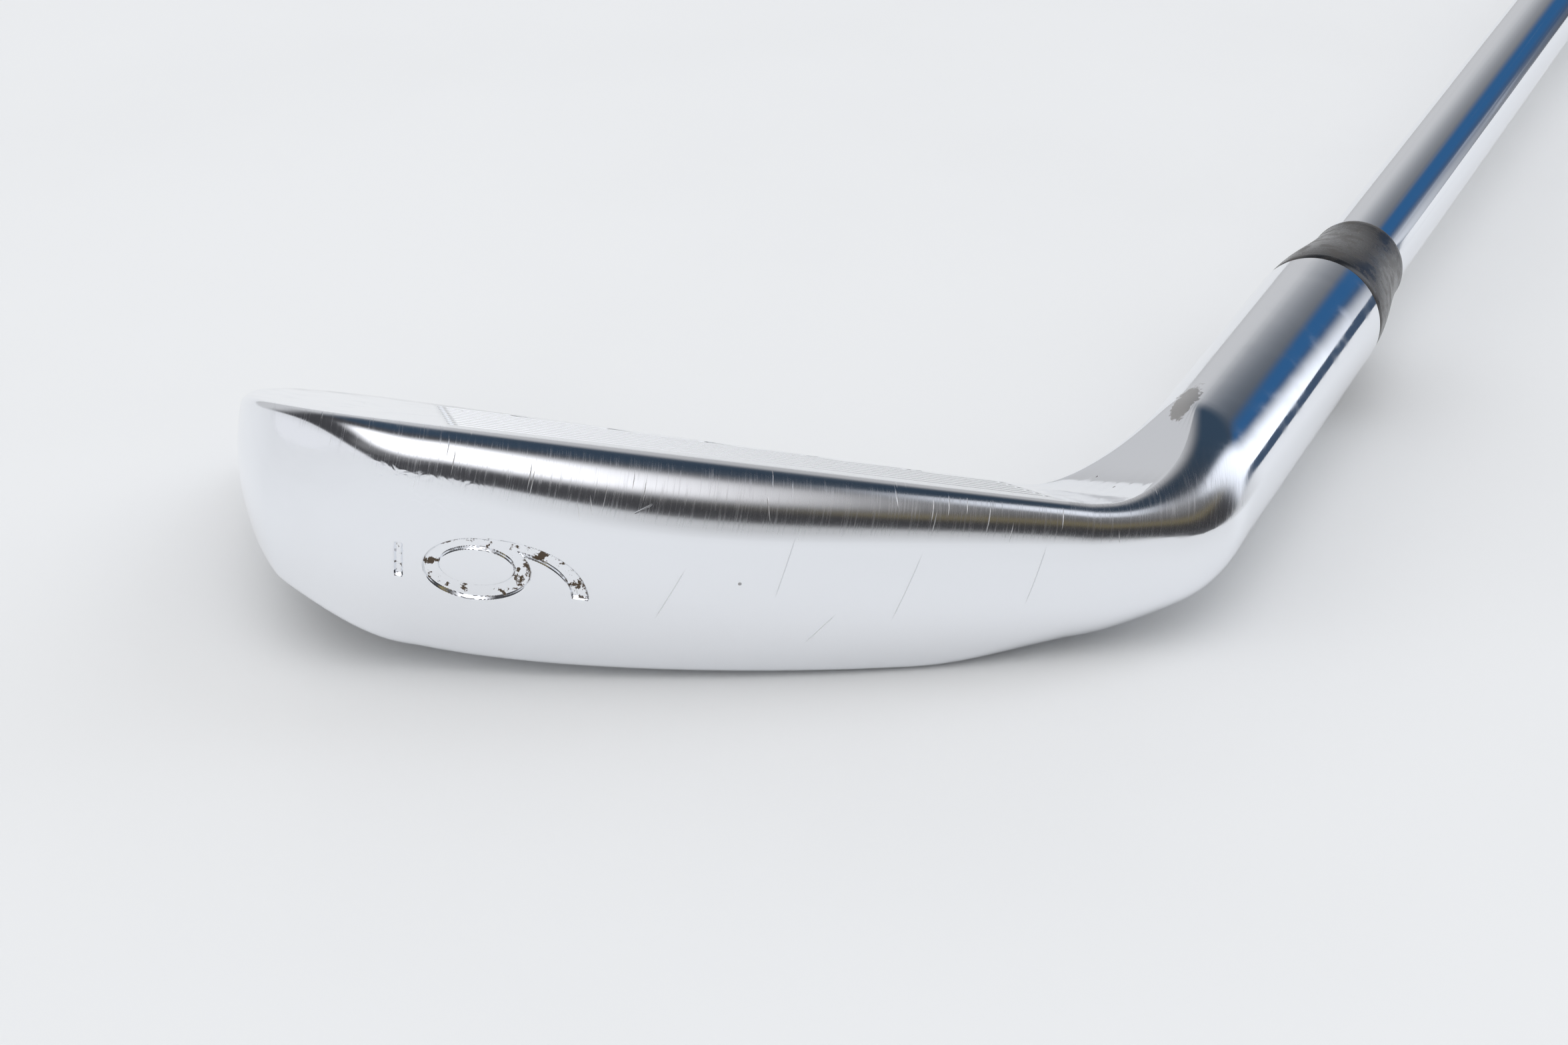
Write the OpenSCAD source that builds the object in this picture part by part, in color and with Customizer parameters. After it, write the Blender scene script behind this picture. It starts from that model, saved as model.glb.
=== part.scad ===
// Iron golf club: a cast cavity-back head on a stepped steel shaft, with ferrule and rubber grip.
// The club lies at rest on its back on the plane z = 0, with the shaft along +X and the face up.

/* [Head] */
// Angle between the shaft and the ground at address
lie = 60.6; // [58:0.1:64]
// Angle of the face back from the vertical at address
loft = 27.8; // [24:0.1:34]
// Where the face plane meets the ground, in front of the shaft axis
face_y = 6.95; // [5:0.05:8]
// Radius of the sole from heel to toe
rocker_r = 170; // [140:5:220]
// Radius of the sole from leading to trailing edge
camber_r = 40; // [32:1:60]
// Distance from the shaft axis to the tip of the toe
toe_x = 76.5; // [74:0.5:80]
// Thickness of the head along its topline
topline_t = 5.2; // [4.5:0.1:7]
// Thickness of the face behind the hitting area
face_t = 2.9; // [2.5:0.1:4]
// Pitch of the score lines on the face
groove_pitch = 3.6; // [3:0.1:4]
// Number of score lines
groove_count = 11; // [6:1:11]

/* [Hosel and ferrule] */
// Outer diameter of the hosel
hosel_d = 13.72; // [13:0.02:14.4]
// Distance along the shaft axis from the ground to the hosel's end
hosel_end = 65.1; // [60:0.1:70]
// Depth of the shaft bore in the hosel
bore_depth = 32; // [26:1:36]
// Length of the ferrule
ferrule_len = 17; // [16:0.5:26]

/* [Shaft] */
// Playing length, along the shaft axis from the ground to the end of the grip
club_len = 952; // [900:1:1000]
// Diameter of the shaft at the tip
tip_d = 9.4; // [9:0.05:9.6]
// Diameter of the shaft at the butt
butt_d = 15.24; // [14.8:0.02:15.5]
// Wall thickness of the shaft
wall = 0.45; // [0.35:0.05:0.8]
// Number of steps between the tip and the butt
steps = 12; // [8:1:16]
// Length of one step
step_len = 38; // [30:1:42]

/* [Grip] */
// Length of the grip, with its cap
grip_len = 267; // [255:1:280]
// Diameter of the grip at its mouth
mouth_d = 18.4; // [18:0.1:20]
// Diameter of the grip's cap
cap_d = 26.8; // [25:0.1:28]
// Diameter of the vent hole in the cap
vent_d = 4; // [3:0.1:5]
// Thickness of the grip tape
tape_t = 0.2; // [0.1:0.05:0.4]

/* [Rest] */
// Roll about the shaft at which the back of the head lies on the ground
roll = 9.75; // [9.7:0.01:9.8]

/* [Hidden] */

chrome = "#d9dee5";
black_plastic = "#1b1a1a";
resin = "#c9b98a";
brass = "#b5a14a";
rubber = "#202124";

// Head outline, in millimetres on the face plane
rocker_x = 38;
camber_y = -5.5;
trail_y = -17;
top_x = 11.6;
top_h = 38.1;
top_slope = 0.382;
toe_h = 25;
spine_h = 29;
toe_fan_x = 59;
pivot_x = 2;
pivot_z = 42;
morph_end = 33;
even_share = 0.25;
heel_taper = 0.5;
heel_lift = 0.07;
groove_h0 = 12.8;
groove_x0 = 4.5;
groove_x1 = 58.5;
groove_w = 0.9;
groove_d = 0.45;

// Mesh counts: face, leading arc, sole, trailing arc, back; then toe, blade, heel and hosel rings
nf = 5;
na = 8;
ns = 10;
nt = 6;
nk = 11;
n_toe = 12;
n_blade = 20;
n_heel = 16;
n_hosel = 2;
half_n = nf + na + ns + nt + nk;
ring_n = 2 * half_n - 2;

// Places along the shaft axis, from the ground
bond = 0.1;
flange_t = 1.5;
bore_end = hosel_end - bore_depth;
shaft_tip = bore_end + flange_t;
shaft_butt = club_len - 4;
grip_mouth = club_len - grip_len;
cap_joint = club_len - 8;
tip_r = tip_d / 2;
butt_r = butt_d / 2;
hosel_r = hosel_d / 2;
tape_r = butt_r + tape_t;
below_grip = 30;
above_ferrule = 10;
step_room = grip_mouth - below_grip - hosel_end - ferrule_len - above_ferrule;
step_pitch = min(step_len, step_room / steps);
first_step = grip_mouth - below_grip - steps * step_pitch;

function lerp(a, b, t) = a + (b - a) * t;
function smooth(t) = let (u = min(max(t, 0), 1)) u * u * u * (u * (6 * u - 15) + 10);

// ---- Face plane: x towards the toe, h up the face, d back from the face ----
face_n = [0, cos(loft), sin(loft)];
face_up = [0, -sin(loft), cos(loft)];
function on_face(x, h) = [x, face_y, 0] + h * face_up;
function to_hd(y, z) = [(face_y - y) * sin(loft) + z * cos(loft),
                        (face_y - y) * cos(loft) - z * sin(loft)];

// ---- Sole: a rocker from heel to toe and a camber from front to back ----
function rocker(x) = pow(x - rocker_x, 2) / (2 * rocker_r);
function camber(x, y) = rocker(x) + pow(y - camber_y, 2) / (2 * camber_r);
function lead_z(x, z, n) = n == 0 ? z : lead_z(x, camber(x, face_y - z * tan(loft)), n - 1);
function lead(x) = let (z = lead_z(x, 2, 8)) to_hd(face_y - z * tan(loft), z);
function trail_edge(x) = trail_y + 0.122 * (norm([x - 56, 10]) - 10) + 0.008 * pow(max(16 - x, 0), 2);
function trail(x) = let (y = trail_edge(x)) to_hd(y, camber(x, y));
function lead_r(x) = 2.3 + 2.1 * exp(-pow((x - 40) / 26, 2));
function trail_r(x) = 1.4 + 2.6 * smooth((16 - x) / 14);

// ---- Topline and back ----
function topline(x) = top_h + top_slope * (x - top_x);
function back_d(h, x, b) = lerp(b[1], topline_t, (h - b[0]) / (topline(x) - b[0]));
// Depth of the cavity, from 0 at its rim to 1 on its floor
function cavity(x, h) =
    let (edges = [x - 9, 69 - x, h - 18, topline(x) - 5.5 - h, 52 - h + 0.12 * (60 - x)],
         d = -ln([for (e = edges) exp(-e)] * [1, 1, 1, 1, 1]))
    smooth(d / 2.6 + 0.3);

// ---- One half of a section, as [outward, back] pairs, from the face to the middle of the back ----
// a is the sharp edge of the face, b the sharp back corner, sag the bulge between them,
// ra and rb the rounding of both corners, and s the middle of the back.
function half_section(a, b, sag, ra, rb, s) =
    let (edge = [a, 0],
         chord = b - edge,
         len = norm(chord),
         r = len * len / (8 * sag) + sag / 2,
         n0 = [chord[1], -chord[0]] / len,
         k = (edge + b) / 2 + (n0[0] < 0 ? -n0 : n0) * (sag - r),
         ca = [k[0] + sqrt(pow(r - ra, 2) - pow(ra - k[1], 2)), ra],
         ua = (ca - k) / norm(ca - k),
         dir = (s - b) / norm(s - b),
         nb0 = [dir[1], -dir[0]],
         nb = nb0 * (edge - b) < 0 ? -nb0 : nb0,
         w = b + rb * nb - k,
         half_b = w * dir,
         root = sqrt(max(half_b * half_b - w * w + pow(r - rb, 2), 0)),
         t = -half_b - root < 0 ? root - half_b : -half_b - root,
         cb = b + t * dir + rb * nb,
         tb = cb - rb * nb,
         ub = (cb - k) / norm(cb - k),
         a1 = atan2(ua[1], ua[0]),
         b1 = atan2(ub[1], ub[0]),
         e0 = atan2(-nb[1], -nb[0]),
         e1 = e0 < b1 - 180 ? e0 + 360 : e0)
    concat([for (i = [0:nf - 1]) [ca[0] * i / (nf - 1), 0]],
           [for (i = [1:na]) let (q = lerp(-90, a1, i / na)) ca + ra * [cos(q), sin(q)]],
           [for (i = [1:ns]) let (q = lerp(a1, b1, i / ns)) k + r * [cos(q), sin(q)]],
           [for (i = [1:nt]) let (q = lerp(b1, e1, i / nt)) cb + rb * [cos(q), sin(q)]],
           [for (i = [1:nk]) lerp(tb, s, i / nk)]);

// Places a half section on the head, outward along [dx, dh] from (x, h), and cuts the cavity
function placed(x, h, v, half) =
    [for (i = [0:half_n - 1])
        let (p = half[i],
             px = x + p[0] * v[0],
             ph = h + p[0] * v[1],
             floor_d = min(p[1], face_t),
             d = i < half_n - nk - 1 ? p[1] : lerp(p[1], floor_d, cavity(px, ph)))
        on_face(px, ph) - d * face_n];

// ---- Sections of the blade, square to the face from sole to topline ----
function spine(x) = lerp(spine_h, 20, smooth((4 - x) / 6));
function sole_half(x) =
    let (a = lead(x), b = trail(x), h = spine(x))
    placed(x, h, [0, -1],
           half_section(h - a[0], [h - b[0], b[1]], 1.7, lead_r(x), trail_r(x), [0, back_d(h, x, b)]));
function top_half(x) =
    let (b = trail(x), h = spine(x), t = topline(x))
    placed(x, h, [0, 1],
           half_section(t - h, [t - h - 0.6, back_d(t, x, b)], 0.25, 0.8, 1.8, [0, back_d(h, x, b)]));
function joined(sole, top) = concat(sole, [for (i = [half_n - 2:-1:1]) top[i]]);
function blade_ring(x) = joined(sole_half(x), top_half(x));

// ---- Toe: half sections that turn about one point of the face ----
function toe_half(angle, is_sole) =
    let (b0 = trail(toe_fan_x),
         a0 = lead(toe_fan_x),
         power = is_sole ? 2.3 : 2.6,
         rise = 1 - pow(cos(angle), 2 / power),
         x = lerp(toe_fan_x, toe_x, pow(sin(angle), 2 / power)),
         h = is_sole ? lead(x)[0] + (toe_h - lead(toe_x)[0]) * rise
                     : topline(x) - (topline(toe_x) - toe_h) * rise,
         v = [x - toe_fan_x, h - spine_h],
         a = norm(v),
         k = pow(sin(angle), 2),
         w0 = is_sole ? b0[1] : back_d(topline(toe_fan_x), toe_fan_x, b0),
         g = is_sole ? lerp(b0[0] - a0[0], 3.2, pow(min(1, 1.25 * sin(angle)), 1.5)) : lerp(0.6, 3.2, k),
         corner = [a - g, lerp(w0, 13, k)],
         middle = [0, back_d(spine_h, toe_fan_x, b0)],
         sag = lerp(is_sole ? 1.7 : 0.25, 1.2, k),
         ra = is_sole ? lerp(lead_r(toe_fan_x), 0.8, smooth(sin(angle) / 0.8)) : 0.8,
         rb = lerp(is_sole ? 1.4 : 1.8, 2.5, k))
    placed(toe_fan_x, spine_h, v / a, half_section(a, corner, sag, ra, rb, middle));
function toe_ring(i) = let (q = 90 * i / n_toe) joined(toe_half(q, true), toe_half(q, false));

// ---- Heel: rings that turn about a pivot above the crotch and become the round hosel ----
shaft_dir = [-cos(lie), 0, sin(lie)];
side_dir = [sin(lie), 0, cos(lie)];
pivot = [pivot_x, 0, pivot_z];
heel_base = blade_ring(pivot_x);
heel_low = min([for (p = heel_base) p[2]]);
heel_high = max([for (p = heel_base) p[2]]);
// Each point goes to the side of the hosel that it already faces, a little evened out
function even_angle(j) = loft - 360 * j / ring_n;
function facing(j) =
    let (step = heel_base[(j + 1) % ring_n] - heel_base[(j + ring_n - 1) % ring_n],
         a = atan2(step[1], -step[2]))
    a + 360 * round((even_angle(j) - a) / 360);
ring_angles = [for (j = [0:ring_n - 1]) lerp(facing(j), even_angle(j), even_share)];
// Distance from the pivot to the sole's rocker, at an angle from the vertical
function to_sole(q) =
    let (dx = pivot_x - rocker_x,
         a = pow(sin(q), 2),
         b = 2 * (rocker_r * cos(q) - dx * sin(q)),
         c = dx * dx - 2 * rocker_r * pivot_z)
    -2 * c / (b + sqrt(b * b - 4 * a * c));
function heel_ring(i) =
    let (q = lie * i / n_heel,
         up = [sin(q), 0, cos(q)],
         across = [-cos(q), 0, sin(q)],
         axis = shaft_dir * (pivot * across) / (shaft_dir * across),
         axis_q = (axis - pivot) * up,
         m = smooth(q / morph_end),
         low = heel_low - rocker(pivot_x) - to_sole(q) * (1 - heel_lift * smooth(q / 18)),
         scale = (heel_high - pivot_z - low) / (heel_high - heel_low))
    [for (j = [0:ring_n - 1])
        let (p = heel_base[j],
             front = face_y - p[2] * tan(loft),
             thinned = front + (p[1] - front) / (1 + heel_taper * q * PI / 180),
             wedge_q = low + (p[2] - heel_low) * scale,
             round_q = axis_q + hosel_r * sin(ring_angles[j]) / cos(lie - q))
        pivot + up * lerp(wedge_q, round_q, m)
              + [0, lerp(thinned, hosel_r * cos(ring_angles[j]), m), 0]];
function hosel_ring(i) =
    let (s = lerp(pivot * shaft_dir, hosel_end, i / n_hosel))
    [for (j = [0:ring_n - 1])
        s * shaft_dir + hosel_r * (sin(ring_angles[j]) * side_dir + [0, cos(ring_angles[j]), 0])];

// Address pose to shaft pose: x along the shaft, z up when the club lies on its back
function to_shaft(p) =
    let (across = p * side_dir)
    [p * shaft_dir, across * cos(roll) - p[1] * sin(roll), p[1] * cos(roll) + across * sin(roll)];

rings = concat([for (i = [n_toe:-1:1]) toe_ring(i)],
               [for (i = [0:n_blade]) blade_ring(lerp(toe_fan_x, pivot_x, i / n_blade))],
               [for (i = [1:n_heel]) heel_ring(i)],
               [for (i = [1:n_hosel]) hosel_ring(i)]);
ring_count = len(rings);
head_points = [for (r = rings) for (p = r) to_shaft(p)];

// Index of a ring's point: the toe's rings share the fan's two ends and close on themselves
function id(i, j0) =
    let (j = j0 % ring_n)
    i <= n_toe && j == 0 ? n_toe * ring_n
    : i <= n_toe && j == half_n - 1 ? n_toe * ring_n + half_n - 1
    : i == 0 && j >= half_n ? ring_n - j
    : i * ring_n + j;
function is_open(t) = t[0] != t[1] && t[1] != t[2] && t[2] != t[0];
head_faces = concat(
    [for (i = [0:ring_count - 2], j = [0:ring_n - 1])
        let (t = [id(i, j), id(i, j + 1), id(i + 1, j + 1)])
        if (is_open(t)) t],
    [for (i = [0:ring_count - 2], j = [0:ring_n - 1])
        let (t = [id(i, j), id(i + 1, j + 1), id(i + 1, j)])
        if (is_open(t)) t],
    [[for (j = [0:ring_n - 1]) id(ring_count - 1, j)]]);

// ---- Rest on the ground: the pitch that puts both the head and the cap on z = 0 ----
head_low = min([for (p = head_points) p[2]]);
low_x = [for (p = head_points) if (p[2] < head_low + 0.001) p[0]][0];
cap_r = cap_d / 2;
cap_low_x = club_len - 6;
pitch = asin((-head_low - cap_r) / (cap_low_x - low_x));
function pitched(p) = [p[0] * cos(pitch) + p[2] * sin(pitch), p[1], p[2] * cos(pitch) - p[0] * sin(pitch)];
rest_points = [for (p = head_points) pitched(p)];
x_low = min([for (p = rest_points) p[0]]);
x_high = pitched([club_len, 0, 0])[0];
y_low = min(-cap_r, min([for (p = rest_points) p[1]]));
y_high = max([for (p = rest_points) p[1]]);
z_low = min([for (p = rest_points) p[2]]);

// Moves a piece modelled on the shaft axis to where the club lies
module at_rest() {
    translate([-(x_low + x_high) / 2, -(y_low + y_high) / 2, -z_low])
        rotate([0, pitch, 0])
            children();
}

// Turns an outline of [radius, place along the shaft] about the shaft axis
module turned(outline) {
    rotate([0, 90, 0])
        rotate_extrude($fn = 96)
            polygon(outline);
}

// ---- Sub-parts ----
module groove(i) {
    h = groove_h0 + i * groove_pitch;
    x0 = max(groove_x0, (h + 4 - top_h) / top_slope + top_x);
    corners = [for (x = [x0, groove_x1], s = [-1, 1], d = [-0.3, groove_d])
        let (half_w = d < 0 ? groove_w / 2 + 0.15 : groove_w / 4)
        to_shaft(on_face(x, h + s * half_w) - d * face_n)];
    polyhedron(corners, [[0, 1, 3, 2], [4, 6, 7, 5], [0, 4, 5, 1], [2, 3, 7, 6], [0, 2, 6, 4], [1, 5, 7, 3]]);
}

module club_head() {
    color(chrome)
        at_rest()
            difference() {
                polyhedron(head_points, head_faces);
                translate([bore_end, 0, 0])
                    rotate([0, 90, 0])
                        cylinder(r = tip_r + bond, h = bore_depth + 5, $fn = 96);
                for (i = [0:groove_count - 1])
                    groove(i);
            }
}

module hosel_epoxy() {
    color(resin)
        at_rest()
            turned([[tip_r, shaft_tip], [tip_r + bond, shaft_tip],
                    [tip_r + bond, hosel_end], [tip_r, hosel_end]]);
}

module tip_weight() {
    color(brass)
        at_rest()
            turned([[0, bore_end], [tip_r, bore_end], [tip_r, shaft_tip],
                    [tip_r - wall, shaft_tip], [tip_r - wall, shaft_tip + 13],
                    [tip_r - wall - 0.8, shaft_tip + 14], [0, shaft_tip + 14]]);
}

// The ferrule swells from the hosel's edge and then tapers onto the shaft
module ferrule() {
    tail_r = tip_r + 0.5;
    waist = [for (t = [0:0.1:1])
        [lerp(hosel_r - 0.1, tail_r, t * t * (3 - 2 * t)), hosel_end + 0.6 + (ferrule_len - 1.2) * t]];
    color(black_plastic)
        at_rest()
            turned(concat([[tip_r, hosel_end], [hosel_r - 0.3, hosel_end]], waist,
                          [[tail_r - 0.3, hosel_end + ferrule_len], [tip_r, hosel_end + ferrule_len]]));
}

// Radius of the stepped shaft after the i-th step
function step_r(i) = lerp(tip_r, butt_r, i / steps);
module shaft() {
    stairs = [for (i = [0:steps - 1])
        let (s = first_step + i * step_pitch)
        each [[step_r(i), s], [step_r(i + 1), s + 1]]];
    inner = [for (p = stairs) [p[0] - wall, p[1]]];
    color(chrome)
        at_rest()
            turned(concat([[tip_r, shaft_tip]], stairs, [[butt_r, shaft_butt], [butt_r - wall, shaft_butt]],
                          [for (i = [len(inner) - 1:-1:0]) inner[i]], [[tip_r - wall, shaft_tip]]));
}

module grip_tape() {
    color("#c8b58a")
        at_rest()
            turned([[butt_r, grip_mouth + 3], [tape_r, grip_mouth + 3],
                    [tape_r, shaft_butt], [butt_r, shaft_butt]]);
}

// Radius of the grip at a fraction of its length, slim for most of it and wider at the top hand
function grip_r(t) = lerp(mouth_d / 2, cap_r - 0.6, 0.62 * t + 0.38 * pow(t, 3));
module grip() {
    outside = [for (i = [0:12])
        [grip_r(i / 12), lerp(grip_mouth + 2.5, cap_joint, i / 12)]];
    color(rubber)
        at_rest()
            turned(concat([[butt_r, grip_mouth], [mouth_d / 2 - 0.9, grip_mouth], [mouth_d / 2 - 0.2, grip_mouth + 0.8]],
                          outside,
                          [[tape_r, cap_joint], [tape_r, grip_mouth + 3], [butt_r, grip_mouth + 3]]));
}

module grip_cap() {
    dome = [for (q = [0:15:90]) [cap_r - 3 + 3 * cos(q), club_len - 3 + 3 * sin(q)]];
    color(rubber)
        at_rest()
            difference() {
                turned(concat([[tape_r, cap_joint], [grip_r(1), cap_joint], [cap_r, cap_low_x]], dome,
                              [[0, club_len], [0, shaft_butt], [tape_r, shaft_butt]]));
                translate([shaft_butt - 1, 0, 0])
                    rotate([0, 90, 0])
                        cylinder(d = vent_d, h = 10, $fn = 48);
            }
}

club_head();
ferrule();
shaft();
hosel_epoxy();
tip_weight();
grip_tape();
grip();
grip_cap();
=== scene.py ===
import math
import bmesh
import bpy
import numpy as np
from mathutils import Matrix, Vector


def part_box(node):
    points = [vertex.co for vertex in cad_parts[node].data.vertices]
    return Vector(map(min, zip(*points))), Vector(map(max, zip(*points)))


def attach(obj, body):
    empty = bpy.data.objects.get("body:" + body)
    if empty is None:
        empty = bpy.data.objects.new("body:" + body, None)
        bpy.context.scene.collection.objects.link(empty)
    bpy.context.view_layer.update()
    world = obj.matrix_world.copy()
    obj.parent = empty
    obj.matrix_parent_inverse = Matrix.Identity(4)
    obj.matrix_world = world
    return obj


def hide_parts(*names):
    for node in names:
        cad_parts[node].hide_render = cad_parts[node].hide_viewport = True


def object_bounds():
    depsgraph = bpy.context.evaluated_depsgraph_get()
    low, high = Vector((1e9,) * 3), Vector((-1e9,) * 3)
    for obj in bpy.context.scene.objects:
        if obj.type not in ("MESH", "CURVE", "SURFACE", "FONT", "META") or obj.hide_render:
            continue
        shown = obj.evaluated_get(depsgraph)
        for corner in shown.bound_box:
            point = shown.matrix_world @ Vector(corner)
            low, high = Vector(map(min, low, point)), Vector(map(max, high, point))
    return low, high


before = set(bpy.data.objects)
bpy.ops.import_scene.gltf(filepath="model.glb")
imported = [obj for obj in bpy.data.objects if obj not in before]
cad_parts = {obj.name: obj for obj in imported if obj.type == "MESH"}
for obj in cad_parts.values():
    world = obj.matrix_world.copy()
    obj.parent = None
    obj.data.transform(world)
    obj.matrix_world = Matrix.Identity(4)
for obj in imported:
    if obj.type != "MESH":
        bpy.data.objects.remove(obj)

CAD_BOX = [list(corner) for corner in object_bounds()]
MM = 0.001

# ---------------------------------------------------------------- the club's driving sizes, in mm
LIE = math.radians(60.6)
LOFT = math.radians(27.8)
ROLL = math.radians(9.75)
FACE_Y = 6.95
ROCKER_R, ROCKER_X = 170.0, 38.0
CAMBER_R, CAMBER_Y = 40.0, -5.5
TOE_X, TOE_H, TOE_FAN_X = 76.5, 25.0, 59.0
SPINE_H = 29.0
TOP_X, TOP_H, TOP_SLOPE, TOPLINE_T = 11.6, 38.1, 0.382, 5.2
TRAIL_Y, TRAIL_X, TRAIL_BEND, TRAIL_SLOPE = -17.0, 56.0, 10.0, 0.122
HEEL_SWEEP_X, HEEL_SWEEP = 16.0, 0.008
LEAD_R, LEAD_R_EXTRA, LEAD_R_X, LEAD_R_SPREAD = 2.3, 2.1, 40.0, 26.0
TRAIL_R, TRAIL_R_EXTRA = 1.4, 2.6
TOP_R, TOP_BACK_R, TOP_IN = 0.8, 1.8, 0.6
SOLE_SAG, TOP_SAG, TOE_SAG = 1.7, 0.25, 1.2
TOE_CORNER_IN, TOE_CORNER_D, TOE_BACK_R = 3.2, 13.0, 2.5
TOE_POWER_LOW, TOE_POWER_HIGH = 2.3, 2.6
FACE_T = 2.9
PIVOT_X, PIVOT_Z = 2.0, 42.0
HEEL_TAPER, HEEL_LIFT = 0.5, 0.07
MORPH_END, EVEN_SHARE = math.radians(33.0), 0.25
HOSEL_R, HOSEL_END, BORE_DEPTH, BORE_R = 6.86, 65.1, 32.0, 4.8
GROOVE_H0, GROOVE_PITCH, GROOVE_COUNT = 12.8, 3.6, 11
GROOVE_X0, GROOVE_X1, GROOVE_W, GROOVE_D = 4.5, 58.5, 0.9, 0.45
TIP_R, BUTT_R, WALL = 4.7, 7.62, 0.45
CLUB_LEN, GRIP_LEN, FERRULE_LEN = 952.0, 267.0, 17.0
STEPS, STEP_LEN, BELOW_GRIP = 12, 38.0, 30.0
MOUTH_R, CAP_R, VENT_R, TAPE_T = 9.2, 13.4, 2.0, 0.2
SHAFT_TIP = HOSEL_END - BORE_DEPTH + 1.5
SHAFT_BUTT = CLUB_LEN - 4
GRIP_MOUTH = CLUB_LEN - GRIP_LEN
CAP_JOINT = CLUB_LEN - 8

# ---------------------------------------------------------------- where the club lies, from the frame


def middle(node):
    low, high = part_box(node)
    return (low + high) / 2


def shaft_place():
    """The point of the shaft axis on the ground at address, and the axis, in metres."""
    glue_mid = (SHAFT_TIP + HOSEL_END) / 2
    near = middle("hosel_epoxy")
    far = middle("grip_tape")
    axis = (far - near).normalized()
    return near - axis * glue_mid * MM, axis


ORIGIN, AXIS = shaft_place()
SIDE = Vector((0, 1, 0))
RISE = AXIS.cross(SIDE)
# At address x points to the toe, y to the target and z up; these are the shaft's direction and,
# square to it, the direction towards the toe
SHAFT_DIR = np.array([-math.cos(LIE), 0, math.sin(LIE)])
SIDE_DIR = np.array([math.sin(LIE), 0, math.cos(LIE)])


def to_row(points):
    """Address-pose millimetres to the row's metres."""
    points = np.asarray(points, float)
    along = points @ SHAFT_DIR
    across = points @ SIDE_DIR
    side = across * math.cos(ROLL) - points[..., 1] * math.sin(ROLL)
    rise = points[..., 1] * math.cos(ROLL) + across * math.sin(ROLL)
    parts = np.stack([along, side, rise], -1)
    return parts @ np.array([AXIS, SIDE, RISE]) * MM + np.array(ORIGIN)


# ---------------------------------------------------------------- head surface


def smooth(t):
    t = np.clip(t, 0, 1)
    return t * t * t * (t * (6 * t - 15) + 10)


def lerp(a, b, t):
    return a + (b - a) * t


FACE_N = np.array([0, math.cos(LOFT), math.sin(LOFT)])
FACE_UP = np.array([0, -math.sin(LOFT), math.cos(LOFT)])


def on_face(x, h):
    point = np.zeros(np.shape(x) + (3,))
    point[..., 0] = x
    point[..., 1] = FACE_Y
    return point + np.asarray(h)[..., None] * FACE_UP


def to_hd(y, z):
    return np.array([(FACE_Y - y) * math.sin(LOFT) + z * math.cos(LOFT),
                     (FACE_Y - y) * math.cos(LOFT) - z * math.sin(LOFT)])


def rocker(x):
    """Height of the sole's lowest line."""
    return (x - ROCKER_X) ** 2 / (2 * ROCKER_R)


def camber(x, y):
    """Height of the sole's chord surface."""
    return rocker(x) + (y - CAMBER_Y) ** 2 / (2 * CAMBER_R)


def lead(x):
    """Where the face plane meets the sole, as height up the face and depth behind it."""
    z = 2.0
    for _ in range(9):
        z = camber(x, FACE_Y - z * math.tan(LOFT))
    return to_hd(FACE_Y - z * math.tan(LOFT), z)


def trail(x):
    """The sole's trailing edge, which draws in on both sides of its furthest point."""
    away = math.hypot(x - TRAIL_X, TRAIL_BEND) - TRAIL_BEND
    y = TRAIL_Y + TRAIL_SLOPE * away + HEEL_SWEEP * max(HEEL_SWEEP_X - x, 0) ** 2
    return to_hd(y, camber(x, y))


def lead_r(x):
    """Radius of the leading edge."""
    return LEAD_R + LEAD_R_EXTRA * math.exp(-((x - LEAD_R_X) / LEAD_R_SPREAD) ** 2)


def trail_r(x):
    """Radius of the trailing edge, which is larger towards the heel."""
    return TRAIL_R + TRAIL_R_EXTRA * smooth((HEEL_SWEEP_X - x) / 14)


def topline(x):
    """Height of the topline up the face."""
    return TOP_H + TOP_SLOPE * (x - TOP_X)


def back_d(h, x, b):
    """Depth of the plain back at height h, between the trailing edge b and the topline."""
    return lerp(b[1], TOPLINE_T, (h - b[0]) / (topline(x) - b[0]))


def cavity(x, h):
    """0 at the cavity's rim and 1 on its floor."""
    edges = [x - 9, 69 - x, h - 18, topline(x) - 5.5 - h, 52 - h + 0.12 * (60 - x)]
    inside = -np.log(sum(np.exp(-e) for e in edges))
    return smooth(inside / 2.6 + 0.3)


def groove_lines(is_sole):
    """[distance from the spine, depth] across each score line below or above the spine."""
    lines = []
    for i in range(GROOVE_COUNT):
        h = GROOVE_H0 + i * GROOVE_PITCH
        if (h < SPINE_H) == is_sole:
            out = abs(h - SPINE_H)
            lines += [(out - GROOVE_W / 2, 0), (out - GROOVE_W / 5, 1)]
            lines += [(out + GROOVE_W / 5, 1), (out + GROOVE_W / 2, 0)]
    return sorted(lines)


# Points along a half section: the face with its score lines, then arcs, sole and back
SOLE_LINES = groove_lines(True)
TOP_LINES = groove_lines(False)
N_FACE = len(TOP_LINES) + 2
N_LEAD, N_TRAIL, N_BACK = 12, 8, 28
SOLE_STOPS = np.linspace(0, 1, 31)[1:]
N_STRIP = len(SOLE_STOPS)
HALF_N = N_FACE + N_LEAD + N_STRIP + N_TRAIL + N_BACK
RING_N = 2 * HALF_N - 2


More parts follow.
